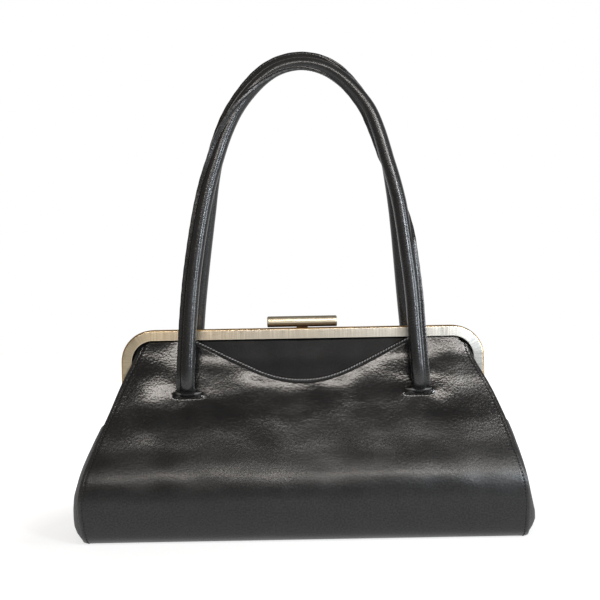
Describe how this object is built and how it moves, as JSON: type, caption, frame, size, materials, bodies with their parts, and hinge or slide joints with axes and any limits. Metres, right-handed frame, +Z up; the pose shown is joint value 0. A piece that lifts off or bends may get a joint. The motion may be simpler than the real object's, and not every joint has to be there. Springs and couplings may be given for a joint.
{
  "type": "framed handbag",
  "caption": "Leather handbag that widens to its base, on a hinged metal frame with a bar kiss lock, carried by rolled handles that fold outwards.",
  "frame": {"origin": "middle of the base, on the surface that the bag stands on", "axes": "+X along the width, +Y from the front to the back, +Z up"},
  "size_m": [0.3214, 0.096, 0.3423],
  "materials": {
    "black_leather": "gloss",
    "yoke_leather": "satin",
    "handle_leather": "gloss",
    "frame_metal": "satin",
    "lining": "matte",
    "board": "matte",
    "paper_cord": "matte",
    "cotton_cord": "matte"
  },
  "bodies": {
    "bag": {"front_panel_lower": "black_leather", "rear_panel_lower": "black_leather", "base_panel": "black_leather", "front_board": "board", "rear_board": "board", "base_board": "board", "left_gusset": "black_leather", "right_gusset": "black_leather", "lining_tub": "lining", "left_hinge_pin": "frame_metal", "right_hinge_pin": "frame_metal"},
    "front_half": {"front_frame": "frame_metal", "front_frame_filler": "paper_cord", "front_clasp_bar": "frame_metal", "front_clasp_washer": "frame_metal", "front_panel_upper": "black_leather", "front_yoke": "yoke_leather", "front_lining": "lining", "front_gusset_tops": "black_leather", "front_slit_rims": "black_leather", "front_handle_tabs": "black_leather"},
    "rear_half": {"rear_frame": "frame_metal", "rear_frame_filler": "paper_cord", "rear_clasp_bar": "frame_metal", "rear_clasp_washer": "frame_metal", "rear_panel_upper": "black_leather", "rear_yoke": "yoke_leather", "rear_lining": "lining", "rear_gusset_tops": "black_leather", "rear_slit_rims": "black_leather", "rear_handle_tabs": "black_leather"},
    "front_handle": {"front_handle_cover": "handle_leather", "front_handle_cord": "cotton_cord", "front_handle_ends": "handle_leather"},
    "rear_handle": {"rear_handle_cover": "handle_leather", "rear_handle_cord": "cotton_cord", "rear_handle_ends": "handle_leather"}
  },
  "joints": [
    {"name": "front_frame_hinge", "type": "hinge", "parent": "bag", "child": "front_half", "pos_m": [0, 0, 0.084], "axis": [1, 0, 0], "range_deg": [0, 35]},
    {"name": "rear_frame_hinge", "type": "hinge", "parent": "bag", "child": "rear_half", "pos_m": [0, 0, 0.084], "axis": [-1, 0, 0], "range_deg": [0, 35]},
    {"name": "front_handle_swing", "type": "hinge", "parent": "front_half", "child": "front_handle", "pos_m": [0, -0.02715, 0.1055], "axis": [1, 0, 0], "range_deg": [0, 110]},
    {"name": "rear_handle_swing", "type": "hinge", "parent": "rear_half", "child": "rear_handle", "pos_m": [0, 0.02715, 0.1055], "axis": [-1, 0, 0], "range_deg": [0, 110]}
  ],
  "couplings": [
    {"joint": "rear_frame_hinge", "follows": "front_frame_hinge", "ratio": 1}
  ]
}
